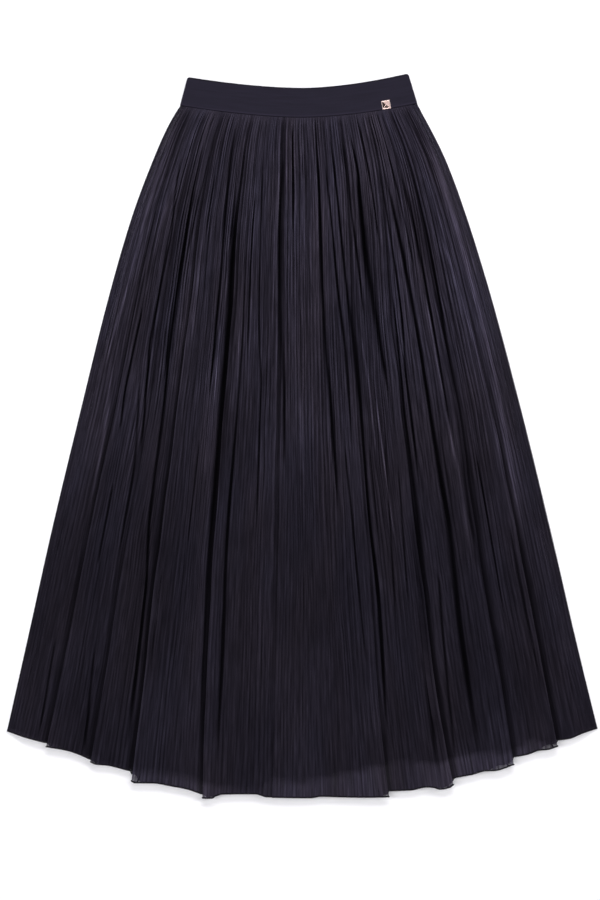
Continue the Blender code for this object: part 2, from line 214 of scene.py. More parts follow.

# Wide soft troughs (below 0) and swells (above 0), raised a little and painted with shade or highlight:
# how much darker or lighter, and their stops
SWELLS = (
    (0.34, ((10, 20, 16), (720, 20, 20))),
    (0.12, ((20, 60, 14), (640, 70, 16))),
    (-0.18, ((840, 130, 8), (990, 130, 10))),
    (-0.26, ((110, 168, 8), (400, 176, 9))),
    (-0.20, ((430, 190, 11), (990, 195, 12))),
    (0.20, ((220, 220, 14), (360, 220, 16))),
    (-0.24, ((15, 268, 12), (200, 280, 14))),
    (0.24, ((350, 286, 11), (540, 290, 11))),
    (-0.28, ((150, 315, 8), (640, 315, 9))),
    (-0.20, ((410, 346, 12), (940, 350, 14))),
    (0.14, ((620, 372, 8), (760, 372, 9))),
    (0.16, ((90, 522, 22), (500, 505, 26))),
    (0.10, ((620, 480, 34), (990, 490, 38))),
    (-0.16, ((320, 655, 9), (640, 650, 9))),
    (-0.18, ((680, 655, 9), (930, 655, 10))),
    (-0.24, ((90, 700, 9), (360, 696, 10))),
    (-0.22, ((360, 756, 9), (640, 755, 10))),
    (-0.26, ((580, 736, 12), (960, 734, 14))),
    (-0.24, ((460, 812, 10), (900, 800, 14))),
    (0.26, ((480, 832, 8), (660, 836, 8))),
    (-0.18, ((130, 858, 9), (440, 862, 9))),
    (0.36, ((20, 950, 14), (180, 955, 20), (700, 952, 20))),
    (0.24, ((640, 974, 14), (900, 980, 14))),
    (-0.16, ((500, 120, 60), (700, 120, 100), (1100, 130, 110))),
    (-0.14, ((500, 840, 60), (700, 840, 90), (960, 850, 90))),
)
SWELL_HEIGHT = 2.6

# Painted light and shade of the cloth at some drops, darker towards the hem, and painted light on its
# sheer hem beyond the lining
PAINTED_LIGHT_BY_DROP = ((0, 1.07), (245, 0.78), (442, 0.70), (668, 0.545), (983, 0.57))
SHEER_PAINTED_LIGHT = 0.94
UNEVEN_SHEER_LIGHT = 0.55
SHEER_LIGHT_RUN = 9.0

# How far outward the pleats lie at some drops, as a share of the width at the widest place
FAN = ((0, 0.030), (40, 0.028), (130, 0.019), (330, 0.001), (600, -0.002), (983, 0))
DRIFT = 4.0
WAVER = 1.5
DRIFT_MARGIN = 0.1

# Uneven patterns: how wide and long their cells are, their seeds, and how far down they reach
Cells = namedtuple("Cells", "wide long seed")
CRINKLE_CELLS, FINE_CELLS = Cells(4.2, 62, 3), Cells(2.2, 34, 5)
DRIFT_CELLS, WAVER_CELLS = Cells(46, 230, 7), Cells(15, 64, 8)
PLEAT_CELLS = Cells(24, 190, 11)
CREASE_CELLS = Cells(14, 95, 13)
BILLOW_CELLS = Cells(70, 420, 17)
SHEER_LIGHT_CELLS = Cells(52, 300, 19)
BACK_CRINKLE_CELLS, BACK_GROOVE_CELLS = Cells(3, 90, 21), Cells(9, 140, 23)
LINING_CELLS = (Cells(30, 200, 31), Cells(30, 200, 32))
LONGEST_DROP = 1100

# Body of the front panel over the lining
FRONT_SEAT = 0.7
SEAT_AT_SEAM = 1.0
BULK = 3.2
BULK_RUN = 40.0
BULK_AT_HEM = 2.0
FLATTER_FROM, FLATTER_RUN = 700.0, 283.0
TROUGH_RUN = 14.0
BILLOW, BILLOW_RUN = 0.8, 60.0
FLAT_BESIDE_FOLD = 4.0
FOLD_REACH, LEAST_FOLD_RUN = 0.6, 5.0
LEAST_COVER = 0.2
CLEAR_GAP = 0.4

# Pleats, gathers and crinkle
FRONT_PLEATS = 100
BACK_PLEATS = 80
WIDTH_STEP, CROWN_STEP, HEIGHT_STEP = 0.6180, 0.7549, 0.5698
PLEAT_WIDTHS = (0.7, 1.3)
PLEAT_SIZES = (0.5, 1.1)
PEAKS = (0.35, 0.65)
PLEAT_SHARPNESS = 0.75
PLEAT_MIDDLE, PLEAT_UNEVENNESS, LEAST_PLEAT = 0.50, 0.60, 0.10
PLEAT_LOSS, LOSS_FROM, LOSS_RUN = 0.55, 200.0, 450.0
GATHERS = 38
GATHER_HEIGHT = 1.9
GATHER_WIDTHS = (0.6, 1.4)
GATHER_SIZES = (0.6, 1.1)
GATHER_ENDS = (140.0, 460.0)
GATHER_SHARPNESS = 0.6
GATHER_START, GATHER_FADE = 14.0, 0.4
CRINKLE = 0.34
CRINKLE_START = 30.0
CALM_FROM = 250.0
CALM_RUN = 300.0
CALM_LOSS = 0.4

# Layers of the CAD model, from the table up
WALL = 1.0
SEAM_GAP = 0.3
BACK_TOP_AT_SEAM = 1.6
BACK_TOP = 3.1
BACK_TOP_RUN = 12.0
SIDE_ROLL = 0.035
BACK_HEM_RISE = 0.5
BACK_HEM_RUN = 8
BACK_FOOT = 0.35
BACK_GROOVE = 1.5
GROOVE_MIDDLE, GROOVE_UNEVENNESS = 0.7, 0.3
BACK_CONTRAST = 1.5
BACK_FLAT_SHARE = 0.45
BACK_CRINKLE = 0.15
BACK_HEM_ROLL_SHARE = 0.6
HEM_SHIFT_POWER = 4

# The hidden layers of the large folds let more light through near the hem
HIDDEN_VEIL = 0.82
VEIL_FROM, VEIL_RUN = 870.0, 50.0

# A tube's path counts as upright where its level part is shorter than UPRIGHT
UPRIGHT = 0.05
LEAST_LENGTH = 1e-9

# How hollow or raised a point is, which sets the cloth's painted shade in hollows and painted
# highlight on crowns, from three widths: columns to either side, millimetres for a full mark, and
# weight
Hollow = namedtuple("Hollow", "reach full weight")
HOLLOWS = (Hollow(3, 0.5, 0.30), Hollow(10, 1.5, 0.50), Hollow(34, 3.2, 0.22))

# Places where the back's hem hangs a little higher, so that light shows through the front
Notch = namedtuple("Notch", "x half rise")
BACK_NOTCHES = (Notch(-242.0, 6.0, 6.0), Notch(285.0, 11.0, 5.0), Notch(354.0, 9.0, 6.0))

# Resolution of the panels
TOP_ROWS = (0.35, 2.0, 5.0, 9.0, 14.0, 20.0)
BACK_TOP_ROWS = (0.35, 4.0, 10.0, 18.0)
MAIN_ROWS_FROM, MAIN_ROWS_TO = 28.0, 918.0
HEM_ROWS_FROM, HEM_ROWS = 927.0, 8
FRONT_COLUMNS = 1240
FRONT_MAIN_ROWS = 58
BACK_COLUMNS = 560
BACK_MAIN_ROWS = 36

# Hem of the front between its large folds, as (x, y) points from left to right
HEM_LINES = (
    ((-427.8, -889.3), (-400, -898), (-369.8, -906)),
    ((-368.6, -911.5), (-343.7, -915.7), (-310.3, -928), (-305.4, -931.5)),
    ((-305.4, -933.5), (-299.1, -936.4), (-282.8, -937.9), (-248, -946.6)),
    (
        (-247.2, -960.8), (-242.2, -963.5), (-217.5, -963.5), (-188.5, -968.3), (-166.8, -972.4),
        (-152.3, -977.3), (-143, -981),
    ),
    (
        (-144.5, -985.4), (-140.7, -985.9), (-130.5, -985.7), (-125.3, -982.4), (-114.6, -979.6),
        (-68.2, -979.3), (-51.5, -983.7), (-42.8, -984),
    ),
    ((-42.8, -984.4), (13.1, -985.1), (26.1, -983), (52.2, -983.7), (90, -984.3), (124.7, -983.7)),
    (
        (125.7, -975.1), (158.1, -973.8), (179.1, -969.5), (190, -970.1), (199.4, -972.8),
        (213.9, -969.8), (218, -966.5),
    ),
    ((218.2, -958), (221.9, -956.1), (245.1, -951.5), (266.1, -946), (277, -945.8), (304.9, -937.3)),
    ((306, -926.1), (327.1, -921.9), (342.2, -916.4), (355.3, -915), (369.2, -910.7)),
    ((369.2, -902), (388.6, -898.9), (401.7, -893.2), (427.8, -885.4)),
)

# Lining hem, as it shows through the sheer cloth
LINING_HEM = (
    (-423, -884), (-370, -905), (-358, -905), (-346, -914), (-312, -926), (-303, -921), (-292, -925),
    (-282, -936), (-252, -942), (-244, -943), (-215, -943.5), (-167, -951.5), (-138, -962.5),
    (-90, -968.6), (-56.5, -968.6), (-53.5, -958), (-38, -955), (-1.5, -959.2), (43.5, -949.8),
    (136, -929.5), (142, -926.5), (197, -932.3), (223, -921.5), (244, -917.2), (300, -916), (335, -897),
    (358, -905), (372, -901), (422, -884),
)
LINING_SHARE = 0.990
LINING_COLUMNS = 300
LINING_TOP_SHARES = (0.0, 0.01)
LINING_MAIN_SHARES = (0.03, 1.0, 28)
LEAST_SHORT, BACK_LINING_SHORT = 4.0, 8.0
LINING_EDGE, LINING_EDGE_STEP = 0.9, 0.3
LINING_WAVE = 0.2

# Waistband
BAND_HEIGHT = 43.0
BAND_WALL = 2.2
BAND_SLACK = 1.0
BAND_CORNER = 3.0
BAND_TOP = Row(-BAND_HEIGHT, 166.2, 153.7, 15.4, 20.3, 0.0)
BAND_COLUMNS = 160
BAND_CORNER_SHARES, BAND_MAIN_SHARES = (1.0, 0.93, 6), (0.9, 0.0, 10)
BAND_SOFT_EDGE = 0.8

# Hem roll and side seams
HEM_ROLL = 1.1
SIDE_SEAM_ROLL = 0.8
SIDE_SEAM_FROM, SIDE_SEAM_POINTS, SIDE_SEAM_HEIGHT = 6.0, 120, 1.2

# Stud
STUD_SIDE = 12.3
STUD_RIM = 1.1
STUD_GROOVE, STUD_GROOVE_DEPTH = 0.2, 0.1
STUD_SOFT_EDGE = 0.12
STUD_PLATE = 1.0
STUD_PEAK = 2.8
STUD_FOOT_X = 122.5
STUD_UP = 6.6
STUD_SLOPE_RUN = 0.01

# Colours of the sheer cloth, painted shade in its valleys and painted highlight on its crowns, and
# lightness up the waistband
PAINTED_SHADE_VALLEY_TO_CROWN = (
    (0.10, (0.0006, 0.0005, 0.0009)),
    (0.32, (0.0060, 0.0053, 0.0079)),
    (0.50, (0.0185, 0.0164, 0.0241)),
    (0.68, (0.0300, 0.0267, 0.0386)),
    (0.95, (0.0440, 0.0394, 0.0552)),
)
BAND_LINES = (
    (0.018, (0.70, 0.70, 0.70)),
    (0.036, (1.55, 1.50, 1.45)),
    (0.060, (1.45, 1.40, 1.36)),
    (0.085, (1.0, 1.0, 1.0)),
    (0.955, (1.0, 1.0, 1.0)),
    (0.975, (0.40, 0.38, 0.42)),
)

# Sockets of a Mix node that mixes colours
MIX_FIRST, MIX_SECOND, MIX_RESULT = 6, 7, 2

# The floor's reach from the origin, and the gap below the skirt, in metres
FLOOR_REACH = 8.0
FLOOR_GAP = 0.0002

# The picture's frame
PIXEL = 1.45
IMAGE_HEIGHT = 900
FRAME_HEIGHT = IMAGE_HEIGHT * PIXEL
FRAME_CENTRE_X = -3.2
FRAME_CENTRE_DOWN = 481.4
CAMERA_HEIGHT = 3400.0
SENSOR = 36.0
CLIP_END = 50.0


def ease(share):
    share = np.clip(share, 0.0, 1.0)
    return share * share * (3.0 - 2.0 * share)


def between(start, end, share):
    return start + (end - start) * share


def uneven(index, step, ends):
    return between(*ends, (index + 1) * step % 1.0)


def uneven_edges(count, ends, first=0):
    """Shares where ridges of uneven widths begin, from 0 to 1."""
    widths = uneven(first + np.arange(count), WIDTH_STEP, ends)
    return np.concatenate(([0.0], np.cumsum(widths))) / widths.sum()


def through(xs, ys, at):
    """A smooth curve through a table's points that never overshoots them."""
    xs, ys, at = (np.asarray(v, float) for v in (xs, ys, at))
    run = np.diff(xs)
    slope = np.diff(ys) / run
    tangent = np.concatenate((slope[:1], np.zeros(len(slope) - 1), slope[-1:]))
    same = slope[:-1] * slope[1:] > 0
    with np.errstate(divide="ignore", invalid="ignore"):
        mean = 2 * slope[:-1] * slope[1:] / (slope[:-1] + slope[1:])
    tangent[1:-1] = np.where(same, mean, 0.0)
    i = np.clip(np.searchsorted(xs, at, side="right") - 1, 0, len(run) - 1)
    t = np.clip((at - xs[i]) / run[i], 0.0, 1.0)
    start = (1 + 2 * t) * (1 - t) ** 2 * ys[i] + t * (1 - t) ** 2 * run[i] * tangent[i]
    end = t * t * (3 - 2 * t) * ys[i + 1] - t * t * (1 - t) * run[i] * tangent[i + 1]
    return start + end


def row_value(field, down):
    return through([r.down for r in ROWS], [getattr(r, field) for r in ROWS], down)


def full_width(down):
    return row_value("left", down) + row_value("right", down)


def on_row(left, right, lift_left, lift_right, across, shift=0.0):
    """X of points on a row, how far its sag lifts them, and its reach to their side."""
    x = -left + (left + right) * across + shift
    reach = np.where(x < 0, left, right)
    lift = np.where(x < 0, lift_left, lift_right)
    return x, lift * (np.abs(x) / reach) ** SAG_POWER, reach


def place(down, across, shift=0.0):
    """X and Y of points at a drop and a share of the width."""
    x, lift, _ = on_row(*(row_value(field, down) for field in EDGE_FIELDS), across, shift)
    return x, -down + lift


def bent(across, down):
    """Where a pleat that ends at a share of the hem's width lies at a drop."""
    fan = through(*zip(*FAN), down)
    moved = across - fan * np.sin(2 * np.pi * across)
    hold = np.sin(np.pi * np.clip(down / HEM.down, 0.0, 1.0))
    for fold in FOLDS:
        near = np.exp(-(((across - fold.at) / SWAY_RUN) ** 2))
        moved = moved + fold.sway * hold * near
    inside = ease(np.minimum(across, 1.0 - across) / DRIFT_MARGIN)
    slow = DRIFT * streaks(across, down, DRIFT_CELLS)
    quick = WAVER * streaks(across, down, WAVER_CELLS)
    return moved + hold * inside * (slow + quick) / HEM_WIDTH


def rolled(across):
    return ease(np.minimum(across, 1.0 - across) / SIDE_ROLL)


def streaks(across, down, cells):
    """Smooth uneven values from -1 to 1."""
    size = (int(LONGEST_DROP / cells.long) + 3, int(HEM_WIDTH / cells.wide) + 3)
    values = np.random.default_rng(cells.seed).uniform(-1, 1, size)
    u, v = across * HEM_WIDTH / cells.wide, down / cells.long
    i, j = np.floor(v).astype(int), np.floor(u).astype(int)
    s, t = ease(v - i), ease(u - j)
    top = values[i, j] * (1 - t) + values[i, j + 1] * t
    bottom = values[i + 1, j] * (1 - t) + values[i + 1, j + 1] * t
    return top * (1 - s) + bottom * s


def back_top(down):
    return between(BACK_TOP_AT_SEAM, BACK_TOP, ease(down / BACK_TOP_RUN))


def front_floor(down, across):
    middle = back_top(down) + 3 * SEAM_GAP + 2 * WALL
    return between(WALL + SEAM_GAP, middle, rolled(across))


def layer_step(fold, down):
    return between(LAYER_STEP_AT_SEAM, fold.step, ease(down / fold.starts))


def fold_seat(fold, down):
    return between(SEAT_AT_SEAM, fold.seat, ease(down / fold.starts))


def overlap(fold, down):
    return fold.lap * ease((down - fold.starts) / (HEM.down - fold.starts))


def turn_place(fold, down, number):
    """Sideways shift and height of one point round a large fold, for each drop."""
    turn = TURNS[number]
    share = number / (len(TURNS) - 1)
    step = layer_step(fold, down)
    lapped = ease((down - fold.starts) / TURN_RUN)
    ramp = RAMP_WIDTH * (1.0 - ease(down / fold.starts)) * (share - 0.5)
    shift = ramp + turn.shift * overlap(fold, down) - turn.bulge * EDGE_BULGE * lapped
    level = turn.level * lapped + 2 * ease(share) * (1 - lapped)
    return -fold.faces * shift, level * step


def pleat_edges():
    """Shares of the width where the pleats of the front begin, the same as in the CAD model."""
    edges, number = [], 0
    for first, last in STRETCHES:
        start = first.at + FOLD_MARGIN if first else 0.0
        end = last.at - FOLD_MARGIN if last else 1.0
        whole = (last.at if last else 1.0) - (first.at if first else 0.0)
        count = round(FRONT_PLEATS * whole)
        edges.extend(between(start, end, uneven_edges(count, PLEAT_WIDTHS, number)))
        number += count
    return np.array(edges)


def ridges(across, edges, sharpness):
    """Rounded ridges with narrow valleys at the edges, and each point's ridge number."""
    i = np.clip(np.searchsorted(edges, across, side="right") - 1, 0, len(edges) - 2)
    t = np.clip((across - edges[i]) / (edges[i + 1] - edges[i]), 0.0, 1.0)
    peak = uneven(i, CROWN_STEP, PEAKS)
    t = np.where(t < peak, 0.5 * t / peak, 0.5 + 0.5 * (t - peak) / (1 - peak))
    return np.sin(np.pi * t) ** sharpness, i


def crease_shape(stops, down, spot, narrowing=1.0):
    """1 along the middle of a crease or swell, and 0 beyond its sides and ends."""
    drops, places, halves = zip(*stops)
    at = through(drops, np.array(places) / 1000, down)
    half = narrowing * through(drops, halves, down)
    share = (down - drops[0]) / (drops[-1] - drops[0])
    along = ease(share / FADE_IN) * ease((1.0 - share) / FADE_OUT)
    return along * np.exp(-(((spot - at) * full_width(down) / half) ** 2))


def painted_front_shading(down, spot, x, y):
    """Painted light and shade of the cloth: darker towards the hem, painted shade in creases and
    troughs, painted highlight on ridges and swells, and painted light at the sheer hem.
    """
    painted_shading = through(*zip(*PAINTED_LIGHT_BY_DROP), down) + 0 * spot
    for change, stops in SWELLS:
        painted_shading *= 1 + change * crease_shape(stops, down, spot)
    uneven_crease_shade = UNEVEN_MIDDLE + UNEVEN_CREASE_SHADE * streaks(spot, down, CREASE_CELLS)
    paler = 1 - PALER * ease((down - PALER_FROM) / PALER_RUN)
    for depth, stops in CREASES:
        shape = crease_shape(stops, down, spot, CREASE_NARROWING)
        dark = min(1.0, depth / DEPTH_OF_DARKEST) * DARKEST * uneven_crease_shade * paler
        painted_shading *= 1 - shape * (dark if depth > 0 else depth * RIDGE_PAINTED_HIGHLIGHT)
    lining_edge = np.interp(x, *zip(*LINING_HEM))
    sheer_light = SHEER_PAINTED_LIGHT * (1 + UNEVEN_SHEER_LIGHT * streaks(spot, down, SHEER_LIGHT_CELLS))
    return painted_shading * (1 + sheer_light * ease((lining_edge - y) / SHEER_LIGHT_RUN))


def front_relief(down, across, spot):
    """Height of pleats, gathers and crinkle over the panel's body, less its deep creases."""
    ridge, i = ridges(across, pleat_edges(), PLEAT_SHARPNESS)
    size = row_value("pleat", down) * uneven(i, HEIGHT_STEP, PLEAT_SIZES)
    growth = PLEAT_MIDDLE + PLEAT_UNEVENNESS * streaks(across, down, PLEAT_CELLS)
    size = size * np.maximum(LEAST_PLEAT, growth)
    relief = ridge * size * (1 - PLEAT_LOSS * ease((down - LOSS_FROM) / LOSS_RUN))
    ridge, i = ridges(across, uneven_edges(GATHERS, GATHER_WIDTHS), GATHER_SHARPNESS)
    last = uneven(i, HEIGHT_STEP, GATHER_ENDS)
    hold = ease(down / GATHER_START) * (1 - ease((down - GATHER_FADE * last) / last))
    relief = relief + GATHER_HEIGHT * ridge * hold * uneven(i, CROWN_STEP, GATHER_SIZES)
    grown = ease(down / CRINKLE_START) * (1 - CALM_LOSS * ease((down - CALM_FROM) / CALM_RUN))
    relief += grown * CRINKLE * streaks(across, down, CRINKLE_CELLS)
    relief += grown * CRINKLE * streaks(across, down, FINE_CELLS)
    uneven_depth = UNEVEN_MIDDLE + UNEVEN_DEPTH * streaks(across, down, CREASE_CELLS)
    for depth, stops in CREASES:
        shape = crease_shape(stops, down, spot, CREASE_NARROWING)
        relief -= CREASE_DEPTH * depth * uneven_depth * shape
    return relief


def body_height(down, across, spot):
    """Height of the panel's body over its floor, with the steps of the large folds."""
    bulk = between(SEAT_AT_SEAM, BULK, ease(down / BULK_RUN))
    bulk = bulk - (BULK - BULK_AT_HEM) * ease((down - FLATTER_FROM) / FLATTER_RUN)
    width = full_width(down)
    height = bulk + BILLOW * streaks(across, down, BILLOW_CELLS) * ease(down / BILLOW_RUN)
    for change, stops in SWELLS:
        height = height + SWELL_HEIGHT * change * crease_shape(stops, down, spot)
    clear = np.ones_like(height)
    for first, last in STRETCHES:
        start = first.at if first else 0.0
        end = last.at if last else 1.0
        here = (across >= start) & (across <= end)
        for fold in (first, last):
            if fold is None:
                continue
            upper = (fold.faces < 0) == (fold is first)
            off = np.abs(across - fold.at) * width
            if upper:
                flat = overlap(fold, down) + FLAT_BESIDE_FOLD
                reach = (end - start) * width * FOLD_REACH
                gone = (off - flat) / np.maximum(reach - flat, LEAST_FOLD_RUN)
                edge = fold_seat(fold, down) + 2 * layer_step(fold, down)
                change = (edge - bulk) * ease(1.0 - gone)
            else:
                change = (fold_seat(fold, down) - bulk) * ease(1.0 - off / TROUGH_RUN)
            height = np.where(here, height + change, height)
            near = FOLD_MARGIN * width
            clear = np.where(here, np.minimum(clear, ease((off - CLEAR_GAP * near) / near)), clear)
    return height, clear


def hem_shift(line, x):
    """How far the hem hangs below its plain line, at a place along it."""
    across = (x + HEM.left) / HEM_WIDTH
    plain = place(np.full_like(x, HEM.down), across)[1]
    return plain - through(*zip(*line), x)


def fold_columns(fold, number, rows, late):
    """Columns of points round the large fold at the right end of a stretch."""
    down = rows[:, None]
    columns = []
    upper = HEM_LINES[number + (fold.faces < 0)]
    lower = HEM_LINES[number + (fold.faces > 0)]
    for point, turn in enumerate(TURNS):
        shift, height = turn_place(fold, down, point)
        spot = bent(fold.at, down)
        x, y = place(down, spot, shift)
        y = y - hem_shift(upper if turn.shift < 1 else lower, x[-1:]) * late
        form = fold_seat(fold, down) + height
        z = front_floor(down, fold.at) + FRONT_SEAT + form
        # Painted light and shade of the cloth round the fold
        painted_shading = painted_front_shading(down, spot, x, y)
        hidden = HIDDEN_VEIL * ease((down - VEIL_FROM) / VEIL_RUN) * (turn.level <= 1.0)
        columns.append((x, y, z, fold.at + 0 * down, down, form, painted_shading, 1 - hidden))
    return columns[::-1] if fold.faces > 0 else columns


def front_points():
    """Rows of points of the front: x, y, z, share of width, drop, form's height, painted light and
    shade, and veil.
    """
    main = np.linspace(MAIN_ROWS_FROM, MAIN_ROWS_TO, FRONT_MAIN_ROWS)
    rows = np.concatenate((TOP_ROWS, main, np.linspace(HEM_ROWS_FROM, HEM.down, HEM_ROWS)))
    blocks = []
    late = (rows[:, None] / HEM.down) ** HEM_SHIFT_POWER
    for number, (first, last) in enumerate(STRETCHES):
        start = first.at + FOLD_MARGIN / 2 if first else 0.0
        end = last.at - FOLD_MARGIN / 2 if last else 1.0
        across = np.linspace(start, end, round(FRONT_COLUMNS * (end - start)))
        down, across = np.meshgrid(rows, across, indexing="ij")
        spot = bent(across, down)
        x, y = place(down, spot)
        body, clear = body_height(down, across, spot)
        inside = rolled(across)
        relief = front_relief(down, across, spot) * clear * inside
        seat = between(WALL / 2, FRONT_SEAT, inside)
        z = front_floor(down, across) + seat + body * inside + relief
        y = y - hem_shift(HEM_LINES[number], x[-1:]) * late
        z = np.maximum(z, front_floor(down, across) + LEAST_COVER)
        # Painted light and shade of the cloth
        painted_shading = painted_front_shading(down, spot, x, y)
        blocks.append((x, y, z, across, down, body + relief, painted_shading, 1 + 0 * x))
        if last:
            blocks += fold_columns(last, number, rows, late)
    return [np.concatenate(parts, axis=1) for parts in zip(*blocks)]


def spread(values, reach):
    """Mean over a run of columns to either side."""
    pad = np.pad(values, ((0, 0), (reach + 1, reach)), mode="edge")
    total = np.cumsum(pad, axis=1)
    return (total[:, 2 * reach + 1 :] - total[:, : -2 * reach - 1]) / (2 * reach + 1)


def concavity(z, scale=1.0):
    """From -1 in valleys to 1 on crowns, from narrow and from wide ones."""
    marks = (hollow.weight * (z - spread(z, hollow.reach)) / hollow.full for hollow in HOLLOWS)
    return np.tanh(scale * sum(marks))


def offset():
    """Where the waist seam's middle lies in the CAD model's frame, in millimetres."""
    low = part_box("waistband_front")[0]
    return np.array((low.x / METRES + SEAM.left, low.y / METRES, 0.0))


def new_object(name, mesh):
    thing = bpy.data.objects.new(name, mesh)
    bpy.context.scene.collection.objects.link(thing)
    return thing


def object_of(name, shape):
    """An object from a bmesh, which is used up."""
    mesh = bpy.data.meshes.new(name)
    shape.to_mesh(mesh)
    shape.free()
    return new_object(name, mesh)


def soften(thing, name, width, segments, degrees):
    """Rounds the edges of an object that are sharper than an angle."""
    soft = thing.modifiers.new(name, "BEVEL")
    soft.width = width * METRES
    soft.segments = segments
    soft.limit_method = "ANGLE"
    soft.angle_limit = math.radians(degrees)


def grid_object(name, x, y, z, u, v, **marks):
    """A sheet through rows of points, with UVs in metres and named values at its points."""
    n_rows, n_columns = x.shape
    points = np.stack((x, y, z), axis=2).reshape(-1, 3) + offset()
    index = np.arange(n_rows * n_columns).reshape(n_rows, n_columns)
    a, b = index[:-1, :-1].ravel(), index[1:, :-1].ravel()
    c, d = index[1:, 1:].ravel(), index[:-1, 1:].ravel()
    faces = np.stack((a, b, c, d), axis=1)
    mesh = bpy.data.meshes.new(name)
    mesh.from_pydata((points * METRES).tolist(), [], faces.tolist())
    layer = mesh.uv_layers.new(name="cut")
    uv = np.stack((u, v), axis=2).reshape(-1, 2) * METRES
    layer.data.foreach_set("uv", uv[faces.ravel()].ravel())
    for mark, values in marks.items():
        mesh.attributes.new(mark, "FLOAT", "POINT").data.foreach_set("value", values.ravel())
    mesh.shade_smooth()
    return new_object(name, mesh)


def tube(name, path, radius, sides=6):
    """A thin closed tube along a path of points, which may turn back on itself."""
    path = np.asarray(path, float)
    along = np.gradient(path, axis=0)
    along /= np.maximum(np.linalg.norm(along, axis=1, keepdims=True), LEAST_LENGTH)
    side = np.cross(along, (0.0, 0.0, 1.0))
    level = np.linalg.norm(side, axis=1, keepdims=True)
    side = np.where(level > UPRIGHT, side / np.maximum(level, UPRIGHT), (0.0, -1.0, 0.0))
    turned = np.where((side[1:] * side[:-1]).sum(axis=1) < 0, -1.0, 1.0)
    side[1:] *= np.cumprod(turned)[:, None]
    other = np.cross(side, along)
    turns = (np.arange(sides) * 2 * np.pi / sides)[None, :, None]
    rings = path[:, None] + radius * (np.cos(turns) * side[:, None] + np.sin(turns) * other[:, None])
    shape = bmesh.new()
    rings = (rings + offset()) * METRES
    made = [[shape.verts.new(p) for p in ring] for ring in rings]
    for near, far in zip(made, made[1:]):
        for i in range(sides):
            j = (i + 1) % sides
            shape.faces.new((near[i], near[j], far[j], far[i]))
    shape.faces.new(made[0][::-1])
    shape.faces.new(made[-1])
    bmesh.ops.recalc_face_normals(shape, faces=shape.faces)
    roll = object_of(name, shape)
    roll.data.shade_smooth()
    return roll


def set_sockets(node, **values):
    """Sets a node's sockets by their names, with _ for each space."""
    for name, value in values.items():
        node.inputs[name.replace("_", " ")].default_value = value


def new_node(tree, kind, **values):
    node = tree.nodes.new("ShaderNode" + kind)
    set_sockets(node, **values)
    return node


def new_material(name, colour, roughness, **values):
    material = bpy.data.materials.new(name)
    material.use_nodes = True
    shader = material.node_tree.nodes["Principled BSDF"]
    set_sockets(shader, Base_Color=(*colour, 1.0), Roughness=roughness, **values)
    return material, material.node_tree, shader


def coordinates(tree, kind):
    return new_node(tree, "TexCoord").outputs[kind]


def attribute(tree, name):
    node = new_node(tree, "Attribute")
    node.attribute_name = name
    return node.outputs["Fac"]


def vertical(tree, source):
    """The second one of the coordinates."""
    parts = new_node(tree, "SeparateXYZ")
    tree.links.new(source, parts.inputs["Vector"])
    return parts.outputs["Y"]


def textured(tree, texture, source, across, along):
    """A texture's value over coordinates that are multiplied across and along the cloth."""
    mapping = new_node(tree, "Mapping", Scale=(across, along, 1.0))
    tree.links.new(source, mapping.inputs["Vector"])
    tree.links.new(mapping.outputs["Vector"], texture.inputs["Vector"])
    return texture.outputs["Fac"]


def noise(tree, source, scale, detail, along=1.0, across=1.0):
    """Noise with scale cells to a metre, which are longer where along or across is below 1."""
    texture = new_node(tree, "TexNoise", Scale=scale, Detail=detail)
    return textured(tree, texture, source, across, along)


def grey(value):
    return (value, value, value)


def ramp(tree, source, *stops):
    """Colours by a value, from two or more (position, colour) stops."""
    node = new_node(tree, "ValToRGB")
    elements = node.color_ramp.elements
    for element, stop in zip((elements[0], elements[1]), (stops[0], stops[-1])):
        element.position = stop[0]
        element.color = (*stop[1], 1.0)
    for position, colour in stops[1:-1]:
        elements.new(position).color = (*colour, 1.0)
    tree.links.new(source, node.inputs["Fac"])
    return node.outputs["Color"]


def multiplied(tree, first, second, factor=1.0):
    """Product of two colours. factor, a number or a socket, is how much of it counts."""
    node = new_node(tree, "Mix")
    node.data_type = "RGBA"
    node.blend_type = "MULTIPLY"
    if isinstance(factor, float):
        node.inputs["Factor"].default_value = factor
    else:
        tree.links.new(factor, node.inputs["Factor"])
    tree.links.new(first, node.inputs[MIX_FIRST])
    tree.links.new(second, node.inputs[MIX_SECOND])
    return node.outputs[MIX_RESULT]


def product(tree, first, second):
    """Product of two numbers."""
    node = new_node(tree, "Math")
    node.operation = "MULTIPLY"
    tree.links.new(first, node.inputs[0])
    tree.links.new(second, node.inputs[1])
    return node.outputs["Value"]


def map_range(tree, source, low, high, to_low, to_high):
    ends = {"From_Min": low, "From_Max": high, "To_Min": to_low, "To_Max": to_high}
    node = new_node(tree, "MapRange", **ends)
    tree.links.new(source, node.inputs["Value"])
    return node.outputs["Result"]


def bump(tree, shader, height, strength, distance, normal=None):
    node = new_node(tree, "Bump", Strength=strength, Distance=distance)
    tree.links.new(height, node.inputs["Height"])
    if normal is not None:
        tree.links.new(normal, node.inputs["Normal"])
    tree.links.new(node.outputs["Normal"], shader.inputs["Normal"])
    return node.outputs["Normal"]


def fine_lines(tree, uv):
    """Narrow dark lines of painted shade in the crinkle, with painted highlight between them, along the
    cloth, a few millimetres apart and slightly wavy.
    """
    wave = new_node(tree, "TexWave", Scale=66.0, Distortion=7.0, Detail=3.0, Detail_Scale=1.2)
    lines = textured(tree, wave, uv, 1.0, 0.07)
    return ramp(tree, lines, (0.0, (0.40, 0.39, 0.42)), (0.4, grey(1.05)), (1.0, grey(1.33)))


